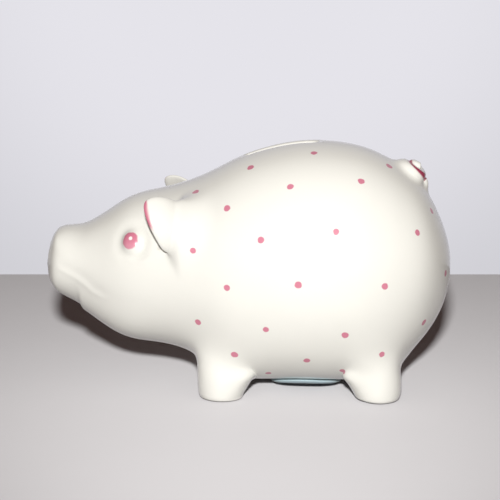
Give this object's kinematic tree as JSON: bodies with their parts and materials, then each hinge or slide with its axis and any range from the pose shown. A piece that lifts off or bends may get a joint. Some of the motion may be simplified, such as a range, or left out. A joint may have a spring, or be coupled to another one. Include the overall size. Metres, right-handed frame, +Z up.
{
  "type": "piggy bank",
  "caption": "Glazed ceramic pig-shaped coin bank: hollow body with a coin slot along the spine and a pull-out stopper under the belly.",
  "frame": {"origin": "on the surface the feet stand on, below the middle of the bounding box", "axes": "+Z up, -X towards the snout, +X towards the tail, -Y towards the pig's left flank"},
  "size_m": [0.1784, 0.0938, 0.11],
  "materials": {
    "white_glaze": "clear gloss glaze over creamy white earthenware with pink underglaze dots",
    "painted_glaze": "clear gloss glaze over white earthenware with pink brushwork",
    "soft_plastic": "translucent bluish-white soft plastic, satin"
  },
  "bodies": {
    "bank": {"body_shell": "white_glaze", "ear_left": "painted_glaze", "ear_right": "painted_glaze", "tail": "painted_glaze"},
    "stopper": {"belly_stopper": "soft_plastic"}
  },
  "joints": [
    {"name": "stopper_pull", "type": "slide", "parent": "bank", "child": "stopper", "axis": [0, 0, -1], "range_m": [0, 0.03]}
  ]
}
